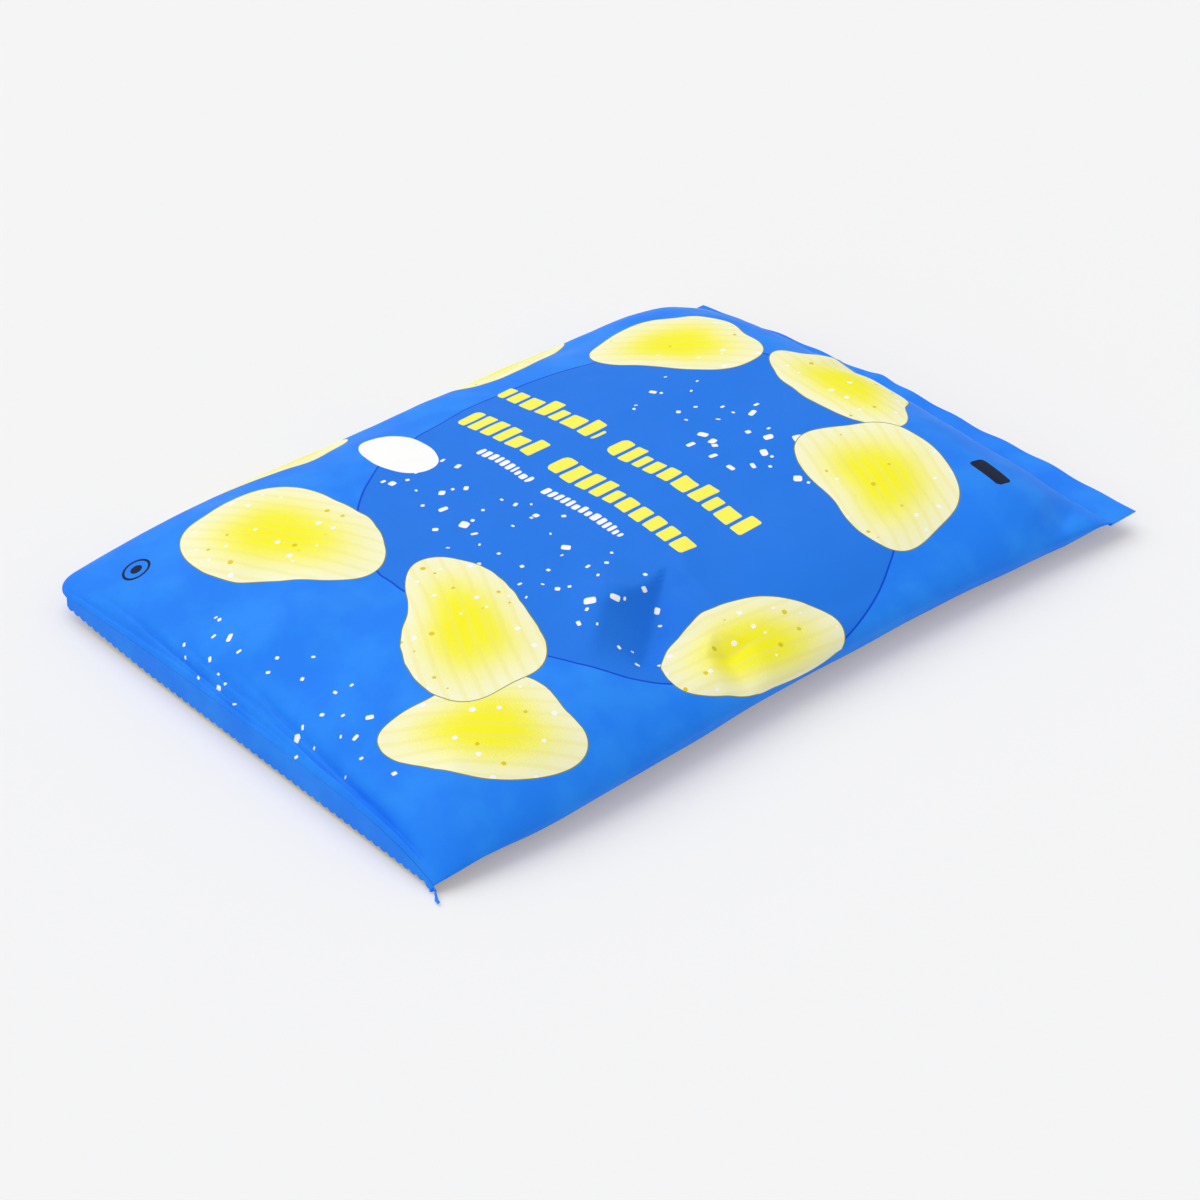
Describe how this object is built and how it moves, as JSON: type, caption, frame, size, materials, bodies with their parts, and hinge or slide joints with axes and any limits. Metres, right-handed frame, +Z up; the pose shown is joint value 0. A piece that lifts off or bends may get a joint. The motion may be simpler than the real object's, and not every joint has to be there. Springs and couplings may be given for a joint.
{
  "type": "bag of crisps",
  "caption": "Sealed pillow bag of crisps in printed film, lying on its back with the front up, with a toothed bottom seal, a straight-cut top seal and a fin seal underneath.",
  "frame": {"origin": "on the table, under the middle of the bag's outline", "axes": "+X towards the right side of the front print, +Y towards the top seal, +Z up out of the front"},
  "size_m": [0.2, 0.282, 0.0303],
  "materials": {
    "printed_film": "satin"
  },
  "bodies": {
    "root": {"crisp_bag": "printed_film"}
  },
  "joints": []
}
